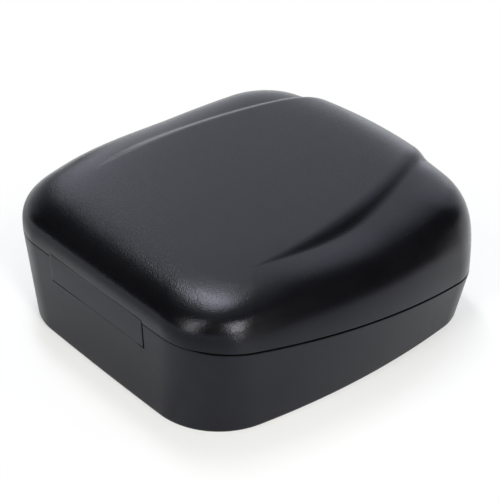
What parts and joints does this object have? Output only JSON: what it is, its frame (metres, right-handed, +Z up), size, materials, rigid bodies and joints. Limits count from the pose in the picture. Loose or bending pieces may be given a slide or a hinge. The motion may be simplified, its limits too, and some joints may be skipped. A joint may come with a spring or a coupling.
{
  "type": "hearing aid case",
  "caption": "Pocket hard case for hearing aids: hinged lid with a soft crown and long flutes, slanting parting line, flush hinge leaf, padded wells and a spare-cell caddy.",
  "frame": {"origin": "under the middle of the case, on the surface that its feet rest on", "axes": "+Z up, +Y towards the hinge side, +X to the right as seen from the opening side"},
  "size_m": [0.0874, 0.091, 0.0377],
  "materials": {
    "lid_plastic": "fine moulded grain, black",
    "base_plastic": "satin black",
    "insert_plastic": "satin dark grey",
    "caddy_plastic": "satin black",
    "foam": "soft matt foam",
    "foot_rubber": "matt",
    "pin_steel": "drawn wire",
    "screw_steel": "plain",
    "magnet_nickel": "nickel plated"
  },
  "bodies": {
    "base": {"base_shell": "base_plastic", "tray": "insert_plastic", "tray_screws": "screw_steel", "battery_caddy": "caddy_plastic", "well_pad_left": "foam", "well_pad_right": "foam", "hinge_pin": "pin_steel", "base_magnet_left": "magnet_nickel", "base_magnet_right": "magnet_nickel", "foot_front_left": "foot_rubber", "foot_front_right": "foot_rubber", "foot_rear_left": "foot_rubber", "foot_rear_right": "foot_rubber"},
    "lid": {"lid_shell": "lid_plastic", "hinge_block": "lid_plastic", "lid_frame": "insert_plastic", "lid_pad": "foam", "lid_magnet_left": "magnet_nickel", "lid_magnet_right": "magnet_nickel"}
  },
  "joints": [
    {"name": "lid_hinge", "type": "hinge", "parent": "base", "child": "lid", "pos_m": [0, 0.04423, 0.0197], "axis": [-1, 0, 0], "range_deg": [0, 105]}
  ]
}
